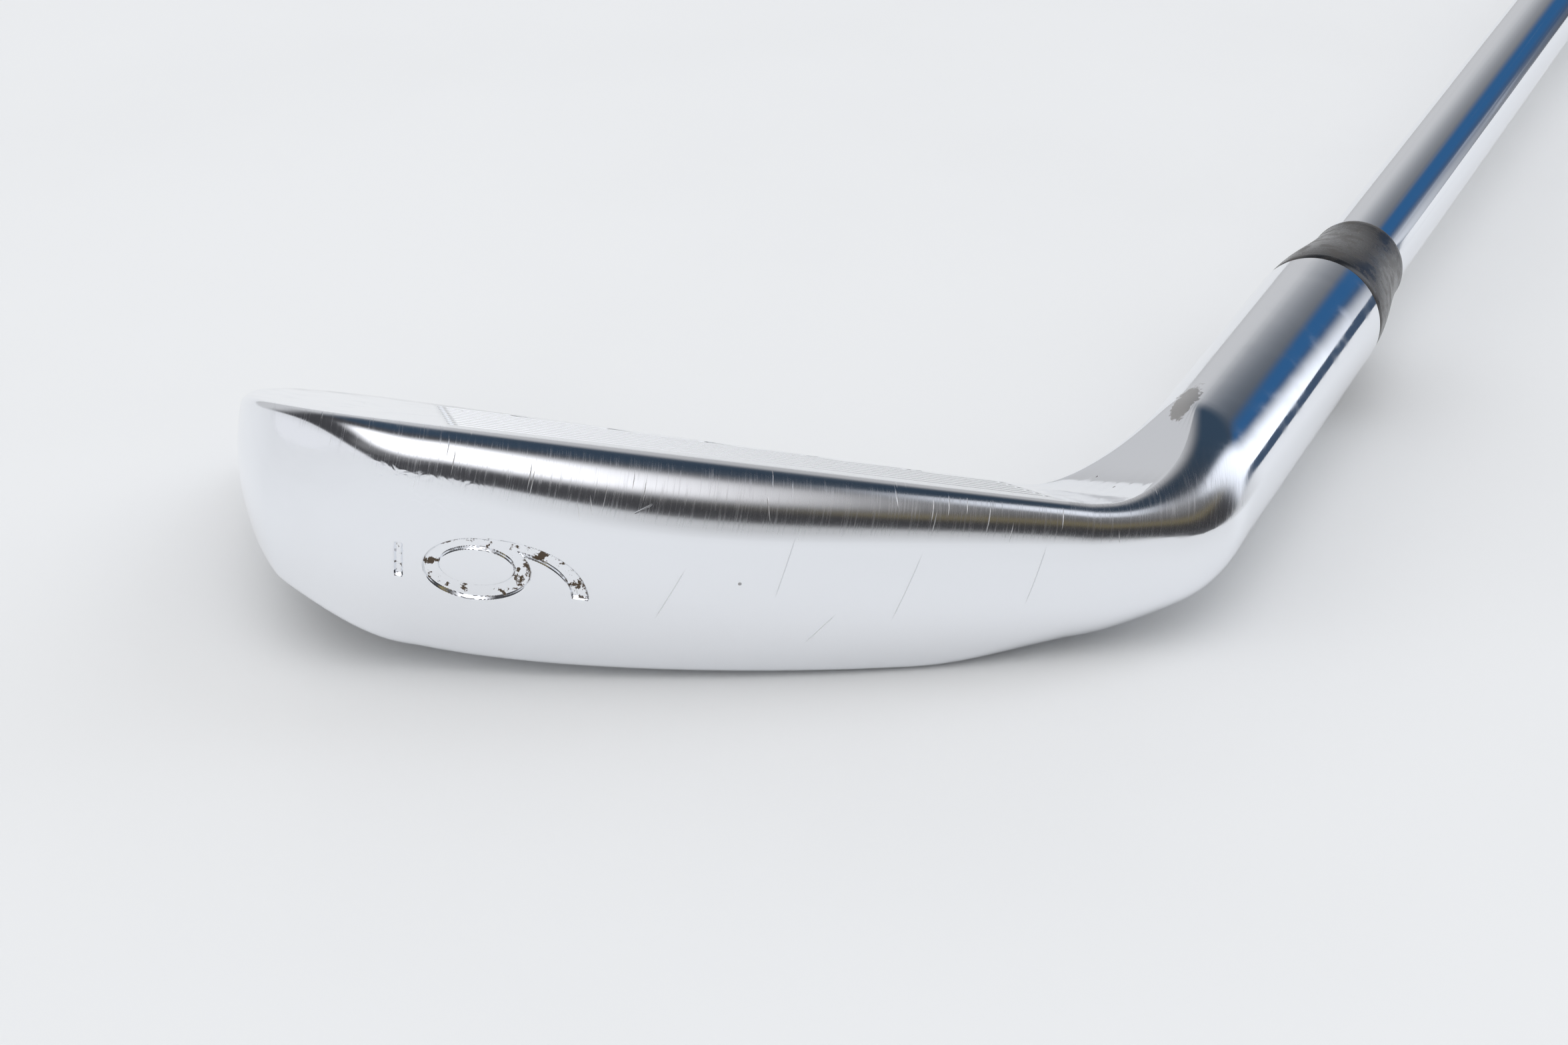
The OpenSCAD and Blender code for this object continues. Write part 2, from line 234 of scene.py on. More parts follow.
def face_stops(end, is_sole, scale):
    """Distances from the spine to each point of the flat face, and which lie in a score line."""
    lines = SOLE_LINES if is_sole else TOP_LINES
    stops = np.array([0.0] + [s for s, _ in lines])
    deep = np.array([0.0] + [d for _, d in lines])
    missing = N_FACE - 1 - len(stops)
    if missing:
        extra = np.linspace(stops[-1], lead_r(ROCKER_X) + stops[-1], missing + 1)[1:]
        stops = np.append(stops, extra)
        deep = np.append(deep, np.zeros(missing))
    stops = np.append(stops * scale, end)
    deep = np.append(deep, 0.0)
    room = end * (1 - 0.0015 * np.arange(N_FACE)[::-1])
    return np.minimum(stops, room), deep


def arc(centre, radius, a0, a1, steps):
    """Points of an arc at steps from 0 to 1 of the way from angle a0 to a1."""
    q = lerp(a0, a1, steps)
    return centre + radius * np.stack([np.cos(q), np.sin(q)], 1)


def half_section(a, b, sag, ra, rb, s, is_sole, scale=1.0):
    """[outward, back] points from the face's spine, round the edge, to the middle of the back."""
    edge = np.array([a, 0.0])
    b = np.array(b, float)
    chord = b - edge
    span = np.hypot(*chord)
    r = span * span / (8 * sag) + sag / 2
    n = np.array([chord[1], -chord[0]]) / span
    n = -n if n[0] < 0 else n
    k = (edge + b) / 2 + n * (sag - r)
    ca = np.array([k[0] + math.sqrt((r - ra) ** 2 - (ra - k[1]) ** 2), ra])
    ua = (ca - k) / np.hypot(*(ca - k))
    run = (np.array([0.0, s]) - b)
    run = run / np.hypot(*run)
    nb = np.array([run[1], -run[0]])
    nb = -nb if nb @ (edge - b) < 0 else nb
    w = b + rb * nb - k
    half_b = w @ run
    root = math.sqrt(max(half_b * half_b - w @ w + (r - rb) ** 2, 0))
    t = root - half_b if -half_b - root < 0 else -half_b - root
    cb = b + t * run + rb * nb
    tb = cb - rb * nb
    ub = (cb - k) / np.hypot(*(cb - k))
    a1 = math.atan2(ua[1], ua[0])
    b1 = math.atan2(ub[1], ub[0])
    e0 = math.atan2(-nb[1], -nb[0])
    e1 = e0 + 2 * math.pi if e0 < b1 - math.pi else e0
    stops, deep = face_stops(ca[0], is_sole, scale)
    face = np.stack([stops, np.zeros(N_FACE)], 1)
    steps = (np.arange(N_LEAD) + 1) / N_LEAD
    ease = (np.arange(N_BACK) + 1) / N_BACK
    half = np.concatenate([
        face,
        arc(ca, ra, -math.pi / 2, a1, steps),
        arc(k, r, a1, b1, SOLE_STOPS),
        arc(cb, rb, b1, e1, (np.arange(N_TRAIL) + 1) / N_TRAIL),
        tb + (np.array([0.0, s]) - tb) * ease[:, None]])
    return half, deep


def placed(x, h, v, half, deep):
    """Places a half section outward along v from (x, h), and cuts the score lines and the cavity."""
    px = x + half[:, 0] * v[0]
    ph = h + half[:, 0] * v[1]
    d = half[:, 1].copy()
    back = slice(HALF_N - N_BACK - 1, HALF_N)
    d[back] = lerp(d[back], np.minimum(d[back], FACE_T), cavity(px[back], ph[back]))
    x0 = np.maximum(GROOVE_X0, (ph[:N_FACE] + 4 - TOP_H) / TOP_SLOPE + TOP_X)
    window = smooth((px[:N_FACE] - x0) / 0.6) * smooth((GROOVE_X1 - px[:N_FACE]) / 0.5)
    d[:N_FACE] += GROOVE_D * deep * window
    return on_face(px, ph) - d[:, None] * FACE_N


def spine(x):
    """Height of the line that parts the lower half sections from the upper."""
    return lerp(SPINE_H, 20, smooth((4 - x) / 6))


def joined(sole, top):
    """One ring of points from a lower and an upper half section, which share both ends."""
    return np.concatenate([sole, top[-2:0:-1]])


def blade_ring(x):
    """The head's section square to the face's long direction."""
    a, b, h, t = lead(x), trail(x), spine(x), topline(x)
    mid = back_d(h, x, b)
    sole_corner, top_corner = [h - b[0], b[1]], [t - h - TOP_IN, back_d(t, x, b)]
    low, deep_low = half_section(h - a[0], sole_corner, SOLE_SAG, lead_r(x), trail_r(x), mid, True)
    high, deep_high = half_section(t - h, top_corner, TOP_SAG, TOP_R, TOP_BACK_R, mid, False)
    return joined(placed(x, h, (0, -1), low, deep_low), placed(x, h, (0, 1), high, deep_high))


def toe_half(angle, is_sole):
    """A half section of the fan that rounds the toe, by its angle from the last blade section."""
    b0, a0 = trail(TOE_FAN_X), lead(TOE_FAN_X)
    power = TOE_POWER_LOW if is_sole else TOE_POWER_HIGH
    rise = 1 - max(math.cos(angle), 0) ** (2 / power)
    x = lerp(TOE_FAN_X, TOE_X, math.sin(angle) ** (2 / power))
    if is_sole:
        h = lead(x)[0] + (TOE_H - lead(TOE_X)[0]) * rise
    else:
        h = topline(x) - (topline(TOE_X) - TOE_H) * rise
    v = np.array([x - TOE_FAN_X, h - SPINE_H])
    a = np.hypot(*v)
    k = math.sin(angle) ** 2
    w0 = b0[1] if is_sole else back_d(topline(TOE_FAN_X), TOE_FAN_X, b0)
    if is_sole:
        g = lerp(b0[0] - a0[0], TOE_CORNER_IN, min(1, 1.25 * math.sin(angle)) ** 1.5)
        ra = lerp(lead_r(TOE_FAN_X), TOP_R, smooth(math.sin(angle) / 0.8))
    else:
        g = lerp(TOP_IN, TOE_CORNER_IN, k)
        ra = TOP_R
    sag = lerp(SOLE_SAG if is_sole else TOP_SAG, TOE_SAG, k)
    rb = lerp(TRAIL_R if is_sole else TOP_BACK_R, TOE_BACK_R, k)
    mid = back_d(SPINE_H, TOE_FAN_X, b0)
    corner = [a - g, lerp(w0, TOE_CORNER_D, k)]
    full = SPINE_H - lead(TOE_FAN_X)[0] if is_sole else topline(TOE_FAN_X) - SPINE_H
    half, deep = half_section(a, corner, sag, ra, rb, mid, is_sole, scale=a / full)
    return placed(TOE_FAN_X, SPINE_H, v / a, half, deep)


def toe_ring(angle):
    return joined(toe_half(angle, True), toe_half(angle, False))


def facing_angles(base):
    """The direction that each point of a section faces, as an angle about the hosel's axis."""
    step = np.roll(base, -1, axis=0) - np.roll(base, 1, axis=0)
    facing = np.unwrap(np.arctan2(step[:, 1], -step[:, 2]))
    facing = np.minimum.accumulate(facing + LOFT - facing[0])
    even = LOFT - 2 * math.pi * np.arange(RING_N) / RING_N
    return lerp(facing, even, EVEN_SHARE)


def heel_ring(base, phi, q):
    """The last blade section, turned by q about the heel's pivot and blended into the hosel's round."""
    pivot = np.array([PIVOT_X, 0, PIVOT_Z])
    up = np.array([math.sin(q), 0, math.cos(q)])
    across = np.array([-math.cos(q), 0, math.sin(q)])
    axis = SHAFT_DIR * (pivot @ across) / (SHAFT_DIR @ across)
    axis_q = (axis - pivot) @ up
    dx = PIVOT_X - ROCKER_X
    qa = math.sin(q) ** 2
    qb = 2 * (ROCKER_R * math.cos(q) - dx * math.sin(q))
    qc = dx * dx - 2 * ROCKER_R * PIVOT_Z
    to_sole = -2 * qc / (qb + math.sqrt(qb * qb - 4 * qa * qc))
    low_z, high_z = base[:, 2].min(), base[:, 2].max()
    low = low_z - rocker(PIVOT_X) - to_sole * (1 - HEEL_LIFT * smooth(q / math.radians(18)))
    wedge = low + (base[:, 2] - low_z) * (high_z - PIVOT_Z - low) / (high_z - low_z)
    ring = axis_q + HOSEL_R * np.sin(phi) / math.cos(LIE - q)
    m = smooth(q / MORPH_END)
    face_y = FACE_Y - base[:, 2] * math.tan(LOFT)
    thinned = face_y + (base[:, 1] - face_y) / (1 + HEEL_TAPER * q)
    out = pivot + up * lerp(wedge, ring, m)[:, None]
    out[:, 1] += lerp(thinned, HOSEL_R * np.cos(phi), m)
    return out


def round_ring(phi, s, radius):
    """A circle about the shaft's axis, s mm from the ground."""
    ring = np.outer(np.sin(phi), SIDE_DIR)
    ring[:, 1] += np.cos(phi)
    return s * SHAFT_DIR + radius * ring


def toe_angles():
    """Angles of the toe's sections from the tip, evenly spaced along the sole beside the blade."""
    near = np.arcsin((np.arange(0.5, 5, 0.5) / (TOE_X - TOE_FAN_X)) ** (TOE_POWER_LOW / 2))
    return np.concatenate([near, np.linspace(near[-1], math.pi / 2, 34)[1:]])[::-1]


def blade_places():
    """Where the blade's sections are, from the toe's fan to the heel's pivot."""
    scored = np.arange(TOE_FAN_X, GROOVE_X0 + 1.5, -0.5)
    return np.concatenate([scored, np.linspace(GROOVE_X0 + 1.5, PIVOT_X, 16)])


# ---- the numeral on the sole: a stamped 6, its foot to the toe, with a bar under it
NUMERAL_DEPTH, NUMERAL_WALL, NUMERAL_CUTS = 0.32, 0.3, 7
NUMERAL_LOW, NUMERAL_HIGH = (44.4, -11.0), (62.6, -2.8)
RING_AT, RING_TILT, RING_OUT = (54.8, -6.8), -0.047, (4.55, 3.05)
RING_HOLE_OFF, RING_HOLE = (0.05, 0.25), (3.22, 1.9)
TAIL_AT, TAIL_OUT, TAIL_HOLE, TAIL_POWER, TAIL_FOOT_Y = (53.2, -9.3), (8.2, 5.72), (6.88, 4.8), 2.3, -8.15
BAR_AT, BAR_SLANT, BAR_HALF = (61.44, -7.06), 0.11, (0.3, 1.6)


def oval(u, v, a, b, power=2.0):
    """Roughly the distance outside an oval, in mm."""
    size = (np.abs(u / a) ** power + np.abs(v / b) ** power) ** (1 / power) + 1e-9
    return np.hypot(u, v) * (1 - 1 / size)


def numeral_distance(x, y):
    """Distance outside the strokes of the 6 and its bar, in mm, negative inside them."""
    u = x - RING_AT[0]
    v = y - RING_AT[1] - u * RING_TILT
    ring = np.maximum(oval(u, v, *RING_OUT), -oval(u - RING_HOLE_OFF[0], v - RING_HOLE_OFF[1], *RING_HOLE))
    tu, tv = x - TAIL_AT[0], y - TAIL_AT[1]
    tail = np.maximum(oval(tu, tv, *TAIL_OUT, TAIL_POWER), -oval(tu, tv, *TAIL_HOLE, TAIL_POWER))
    tail = np.maximum(tail, np.maximum(TAIL_FOOT_Y - y, u + 0.6))
    bv = y - BAR_AT[1]
    bu = x - BAR_AT[0] - BAR_SLANT * bv
    bar = np.maximum(np.abs(bu) - BAR_HALF[0], np.abs(bv) - BAR_HALF[1])
    return np.minimum(np.minimum(ring, tail), bar)


def near_numeral(point, normal):
    """Whether a place on the head is on the sole within the numeral's rectangle."""
    inside = NUMERAL_LOW[0] < point.x < NUMERAL_HIGH[0] and NUMERAL_LOW[1] < point.y < NUMERAL_HIGH[1]
    return inside and normal.z < -0.6


def stamp(shape):
    """Presses the numeral into the sole of a bmesh in mm, after dividing that part finely."""
    pressed = shape.verts.layers.float.new("pressed")
    patch = [face for face in shape.faces if near_numeral(face.calc_center_median(), face.normal)]
    edges = list(dict.fromkeys(edge for face in patch for edge in face.edges))
    bmesh.ops.subdivide_edges(shape, edges=edges, cuts=NUMERAL_CUTS, use_grid_fill=True)
    shape.normal_update()
    verts = [v for v in shape.verts if near_numeral(v.co, v.normal)]
    places = np.array([v.co for v in verts])
    amounts = smooth(0.5 - numeral_distance(places[:, 0], places[:, 1]) / NUMERAL_WALL)
    for vert, amount, normal in zip(verts, amounts, [v.normal.copy() for v in verts]):
        vert[pressed] = amount
        vert.co = vert.co - normal * float(amount) * NUMERAL_DEPTH


HEEL_STEPS, HOSEL_STEPS, HOSEL_BEVEL = 34, 8, 0.45


def head_rings():
    """All the head's rings of points, from the toe to the bottom of the hosel's bore."""
    rings = [toe_ring(q) for q in toe_angles()]
    n_toe = len(rings)
    rings += [blade_ring(x) for x in blade_places()]
    base = rings[-1]
    phi = facing_angles(base)
    rings += [heel_ring(base, phi, LIE * i / HEEL_STEPS) for i in range(1, HEEL_STEPS + 1)]
    start = np.array([PIVOT_X, 0, PIVOT_Z]) @ SHAFT_DIR
    bevel = HOSEL_END - HOSEL_BEVEL
    hosel_places = np.linspace(start, bevel, HOSEL_STEPS + 1)[1:]
    rings += [round_ring(phi, place, HOSEL_R) for place in hosel_places]
    rings += [round_ring(phi, HOSEL_END, HOSEL_R - HOSEL_BEVEL), round_ring(phi, HOSEL_END, BORE_R)]
    rings += [round_ring(phi, HOSEL_END - BORE_DEPTH, BORE_R)]
    return np.array(rings), n_toe


def ring_ids(count, n_toe):
    """Index of each ring's points: the toe's rings share both ends and close on themselves."""
    ids = np.arange(count * RING_N).reshape(count, RING_N)
    ids[:n_toe, 0] = ids[n_toe, 0]
    ids[:n_toe, HALF_N - 1] = ids[n_toe, HALF_N - 1]
    j = np.arange(HALF_N, RING_N)
    ids[0, j] = ids[0, RING_N - j]
    return ids


def add_attribute(mesh, name, values, kind="FLOAT"):
    layer = mesh.attributes.new(name, kind, "POINT")
    key = "vector" if kind == "FLOAT_VECTOR" else "value"
    layer.data.foreach_set(key, np.asarray(values, np.float32).ravel())


def in_box(points):
    """Keeps points inside the CAD model's box, which finer facets would leave by a few microns."""
    return np.clip(points, CAD_BOX[0], CAD_BOX[1])


def show(mesh, material, slot, *nodes):
    """Puts a finished mesh in the scene, riding on the club and standing for CAD nodes."""
    mesh.materials.append(material)
    piece = bpy.data.objects.new(mesh.name, mesh)
    bpy.context.scene.collection.objects.link(piece)
    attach(piece, "root")
    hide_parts(*nodes)
    return piece


def lead_mask(count):
    """1 on the leading edge's arc of every section, 0 on the face and most of the sole."""
    j = np.arange(RING_N)
    start = N_FACE - 1
    mask = smooth((j - start + 1) / 2) * smooth((start + N_LEAD + 3 - j) / 4)
    return np.tile(mask, count)


def blasted_mask(points):
    """1 on the part of the flat face that holds the score lines."""
    x, z = points[:, 0], points[:, 2]
    x0 = np.maximum(GROOVE_X0, (z / math.cos(LOFT) + 4 - TOP_H) / TOP_SLOPE + TOP_X)
    across = smooth((x - x0 + 0.6) / 0.6) * smooth((GROOVE_X1 + 0.6 - x) / 0.6)
    from_plane = points @ FACE_N - FACE_Y * math.cos(LOFT)
    return across * smooth((from_plane + 0.75) / 0.2)


def head_shape():
    """The head's rings as a closed bmesh in mm, in the address pose."""
    rings, n_toe = head_rings()
    points = rings.reshape(-1, 3)
    ids = ring_ids(len(rings), n_toe)
    nxt = np.roll(ids, -1, axis=1)
    quads = np.stack([ids[:-1], ids[1:], nxt[1:], nxt[:-1]], -1).reshape(-1, 4)
    shape = bmesh.new()
    lead_layer = shape.verts.layers.float.new("lead")
    lead_amount = lead_mask(len(rings))
    verts = {}
    for index in np.unique(ids):
        verts[index] = shape.verts.new(points[index])
        verts[index][lead_layer] = lead_amount[index]
    for quad in quads.tolist() + [ids[-1][::-1].tolist()]:
        loop = [verts[v] for i, v in enumerate(quad) if v != quad[i - 1]]
        if len(loop) > 2:
            shape.faces.new(loop)
    shape.normal_update()
    if shape.calc_volume(signed=True) < 0:
        bmesh.ops.reverse_faces(shape, faces=shape.faces)
    return shape


def make_head(material):
    shape = head_shape()
    stamp(shape)
    mesh = bpy.data.meshes.new("head")
    shape.to_mesh(mesh)
    shape.free()
    points = np.zeros(len(mesh.vertices) * 3)
    mesh.vertices.foreach_get("co", points)
    points = points.reshape(-1, 3)
    add_attribute(mesh, "place", points, "FLOAT_VECTOR")
    add_attribute(mesh, "blasted", blasted_mask(points))
    mesh.vertices.foreach_set("co", in_box(to_row(points)).ravel())
    mesh.update()
    mesh.shade_smooth()
    mesh.set_sharp_from_angle(angle=math.radians(34))
    return show(mesh, material, "head_chrome", "club_head")


# ---------------------------------------------------------------- turned pieces
STEEL_SIDES, GRIP_SIDES = 96, 120


def turned(name, profile, segments, material, slot, *nodes):
    """A solid of revolution about the shaft's axis from its [radius, distance up the shaft] outline."""
    profile = np.array(profile, float)
    phi = 2 * math.pi * np.arange(segments) / segments
    ring = np.outer(np.sin(phi), SIDE_DIR)
    ring[:, 1] += np.cos(phi)
    points = profile[:, 1, None, None] * SHAFT_DIR + profile[:, 0, None, None] * ring
    ids = np.arange(len(profile) * segments).reshape(len(profile), segments)
    nxt = np.roll(ids, -1, axis=0)
    quads = np.stack([ids, nxt, np.roll(nxt, -1, axis=1), np.roll(ids, -1, axis=1)], -1)
    mesh = bpy.data.meshes.new(name)
    mesh.from_pydata(in_box(to_row(points.reshape(-1, 3))).tolist(), [], quads.reshape(-1, 4).tolist())
    around = np.tile(phi, len(profile))
    radius = np.repeat(profile[:, 0], segments)
    along = np.repeat(profile[:, 1], segments)
    add_attribute(mesh, "place", np.stack([radius * np.sin(around), radius * np.cos(around), along], 1),
                  "FLOAT_VECTOR")
    mesh.shade_smooth()
    mesh.set_sharp_from_angle(angle=math.radians(40))
    return show(mesh, material, slot, *nodes)


def make_ferrule(material):
    """The black collar, waisted from the hosel down to the shaft."""
    tail_r = TIP_R + 0.5
    t = np.linspace(0, 1, 33)
    waist = np.stack([lerp(HOSEL_R - 0.1, tail_r, t * t * (3 - 2 * t)),
                      HOSEL_END + 0.6 + (FERRULE_LEN - 1.2) * t], 1)
    end = HOSEL_END + FERRULE_LEN
    outline = [[TIP_R, HOSEL_END], [HOSEL_R - 0.3, HOSEL_END]] + waist.tolist()
    outline += [[tail_r - 0.1, end - 0.15], [tail_r - 0.3, end], [TIP_R, end]]
    return turned("ferrule_sleeve", outline, STEEL_SIDES, material, "ferrule_plastic", "ferrule")


def make_shaft(material):
    """The stepped tube, with its steps softened, and its inner wall."""
    first = GRIP_MOUTH - BELOW_GRIP - STEPS * STEP_LEN
    outline = [[TIP_R, SHAFT_TIP]]
    for i in range(STEPS):
        s = first + i * STEP_LEN
        low = lerp(TIP_R, BUTT_R, i / STEPS)
        high = lerp(TIP_R, BUTT_R, (i + 1) / STEPS)
        outline += [[low, s - 0.3], [low + 0.03, s], [high - 0.03, s + 1], [high, s + 1.3]]
    outline += [[BUTT_R, SHAFT_BUTT]]
    inner = [[r - WALL, s] for r, s in outline[::-1]]
    return turned("shaft_tube", outline + inner, STEEL_SIDES, material, "shaft_chrome", "shaft")


def grip_r(t):
    """Radius of the grip, t from 0 at its mouth to 1 at the cap."""
    return lerp(MOUTH_R, CAP_R - 0.6, 0.62 * t + 0.38 * t ** 3)


def make_grip(material):
    stops = np.linspace(0, 1, 260)
    outside = [[grip_r(t), lerp(GRIP_MOUTH + 2.5, CAP_JOINT, t)] for t in stops]
    outline = [[BUTT_R, GRIP_MOUTH], [MOUTH_R - 0.9, GRIP_MOUTH], [MOUTH_R - 0.2, GRIP_MOUTH + 0.8]]
    outline += outside
    outline += [[BUTT_R + TAPE_T, CAP_JOINT], [BUTT_R + TAPE_T, GRIP_MOUTH + 3], [BUTT_R, GRIP_MOUTH + 3]]
    return turned("grip_sleeve", outline, GRIP_SIDES, material, "grip_rubber", "grip")


def make_cap(material):
    q = np.radians(np.linspace(0, 90, 13))
    dome = np.stack([CAP_R - 3 + 3 * np.cos(q), CLUB_LEN - 3 + 3 * np.sin(q)], 1).tolist()
    outline = [[BUTT_R + TAPE_T, CAP_JOINT], [grip_r(1), CAP_JOINT], [CAP_R, CLUB_LEN - 6]] + dome
    outline += [[VENT_R + 0.4, CLUB_LEN], [VENT_R, CLUB_LEN - 0.4], [VENT_R, SHAFT_BUTT]]
    outline += [[BUTT_R + TAPE_T, SHAFT_BUTT]]
    return turned("cap_end", outline, GRIP_SIDES, material, "cap_rubber", "grip_cap")


# ---------------------------------------------------------------- materials
class Surface:
    """A Principled material and the few kinds of node that its textures need."""

    def __init__(self, name, color, roughness, metallic=0.0):
        self.material = bpy.data.materials.new(name)
        self.material.use_nodes = True
        self.tree = self.material.node_tree
        self.shader = self.tree.nodes["Principled BSDF"]
        self.shader.inputs["Base Color"].default_value = (*color, 1)
        self.shader.inputs["Roughness"].default_value = roughness
        self.shader.inputs["Metallic"].default_value = metallic

    def node(self, kind, **settings):
        made = self.tree.nodes.new("ShaderNode" + kind)
        for key, value in settings.items():
            setattr(made, key, value)
        return made

    def fill(self, socket, value):
        if isinstance(value, bpy.types.NodeSocket):
            self.tree.links.new(value, socket)
        else:
            socket.default_value = value

    def place(self):
        """Where the point is on the piece, in mm."""
        return self.node("Attribute", attribute_name="place").outputs["Vector"]

    def mask(self, name):
        return self.node("Attribute", attribute_name=name).outputs["Fac"]

    def math(self, operation, *values):
        made = self.node("Math", operation=operation)
        for socket, value in zip(made.inputs, values):
            self.fill(socket, value)
        return made.outputs[0]

    def vector(self, operation, *values):
        made = self.node("VectorMath", operation=operation)
        for socket, value in zip(made.inputs, values):
            self.fill(socket, value)
        return made.outputs[0]

    def parts(self, vector):
        made = self.node("SeparateXYZ")
        self.fill(made.inputs[0], vector)
        return made.outputs

    def turned(self, vector, angles, scale=(1, 1, 1)):
        made = self.node("Mapping", vector_type="TEXTURE")
        self.fill(made.inputs["Vector"], vector)
        made.inputs["Rotation"].default_value = [math.radians(v) for v in angles]
        made.inputs["Scale"].default_value = scale
        return made.outputs[0]

    def noise(self, vector, scale, detail=2.0, rough=0.5, bend=0.0):
        made = self.node("TexNoise")
        self.fill(made.inputs["Vector"], vector)
        made.inputs["Scale"].default_value = scale
        made.inputs["Detail"].default_value = detail
        made.inputs["Roughness"].default_value = rough
        made.inputs["Distortion"].default_value = bend
        return made.outputs["Fac"]

    def cells(self, vector, scale):
        """Distance to the middle of the nearest of scattered cells, and a random colour for each."""
        made = self.node("TexVoronoi")
        self.fill(made.inputs["Vector"], vector)
        made.inputs["Scale"].default_value = scale
        return made.outputs["Distance"], self.parts(made.outputs["Color"])

    def ramp(self, value, low, high):
        """0 up to low, 1 from high on, and smooth between; low may be the larger."""
        made = self.node("MapRange", interpolation_type="SMOOTHSTEP")
        self.fill(made.inputs["Value"], value)
        made.inputs["From Min"].default_value = min(low, high)
        made.inputs["From Max"].default_value = max(low, high)
        made.inputs["To Min"].default_value = 0 if low < high else 1
        made.inputs["To Max"].default_value = 1 if low < high else 0
        return made.outputs[0]

    def times(self, *values):
        product = values[0]
        for value in values[1:]:
            product = self.math("MULTIPLY", product, value)
        return product

    def plus(self, *values):
        total = values[0]
        for value in values[1:]:
            total = self.math("ADD", total, value)
        return total

    def top(self, *values):
        largest = values[0]
        for value in values[1:]:
            largest = self.math("MAXIMUM", largest, value)
        return largest

    def scratches(self, place, angles, across, along, fill, share):
        """Straight thin scratches in a share of scattered cells, across by along mm before fill."""
        distance, chance = self.cells(self.turned(place, angles, (across, along, along)), 1)
        return self.times(self.ramp(distance, fill, fill * 0.4), self.ramp(chance[0], share, share * 0.9))

    def line(self, place, start, end, width):
        """One scratch between two points of the sole, given as x and y in mm."""
        dx, dy = end[0] - start[0], end[1] - start[1]
        length = math.hypot(dx, dy)
        angle = math.degrees(math.atan2(dy, dx))
        made = self.node("Mapping", vector_type="TEXTURE")
        self.fill(made.inputs["Vector"], place)
        made.inputs["Location"].default_value = (start[0] + dx / 2, start[1] + dy / 2, 0)
        made.inputs["Rotation"].default_value = (0, 0, math.radians(angle))
        made.inputs["Scale"].default_value = (length / 2, width / 2, 1)
        u, v, _ = self.parts(made.outputs[0])
        ends = self.ramp(self.math("ABSOLUTE", u), 1, 0.6)
        sides = self.ramp(self.math("ABSOLUTE", v), 1, 0.3)
        on_sole = self.ramp(self.parts(place)[2], 6, 4)
        return self.times(ends, sides, on_sole)

    def paint(self, color, amount):
        """Lays a colour over what the base colour already is, by amount."""
        made = self.node("Mix", data_type="RGBA")
        self.fill(made.inputs["Factor"], amount)
        socket = self.shader.inputs["Base Color"]
        if socket.is_linked:
            self.fill(made.inputs["A"], socket.links[0].from_socket)
        else:
            made.inputs["A"].default_value = socket.default_value
        made.inputs["B"].default_value = (*color, 1)
        self.fill(socket, made.outputs["Result"])

    def blend(self, name, target, amount):
        """Moves a number of the shader towards a target, by amount."""
        socket = self.shader.inputs[name]
        made = self.node("Mix", data_type="FLOAT")
        self.fill(made.inputs["Factor"], amount)
        if socket.is_linked:
            self.fill(made.inputs["A"], socket.links[0].from_socket)
        else:
            made.inputs["A"].default_value = socket.default_value
        made.inputs["B"].default_value = target
        self.fill(socket, made.outputs["Result"])

    def bump(self, height, distance, strength=1.0):
        """Adds relief: height from 0 to 1 of a distance in metres."""
        made = self.node("Bump")
        made.inputs["Strength"].default_value = strength
        made.inputs["Distance"].default_value = distance
        self.fill(made.inputs["Height"], height)
        socket = self.shader.inputs["Normal"]
        if socket.is_linked:
            self.fill(made.inputs["Normal"], socket.links[0].from_socket)
        self.fill(socket, made.outputs["Normal"])


CHROME = (0.90, 0.915, 0.945)
# Scratches on the sole, from x, y to x, y in mm, and the bare patch beside the bend
SOLE_SCRATCHES = [((28.5, 0.7), (29.3, -5.9)), ((17.2, 0.1), (18.7, -7.4)), ((6.2, 1.2), (7.0, -5.0)),
                  ((37.3, -3.5), (39.2, -9.4)), ((23.6, -6.7), (25.8, -10.4)), ((42.5, 0.8), (40.9, 1.8))]
WORN_AT = (-9.2, 5.6, 23.4)


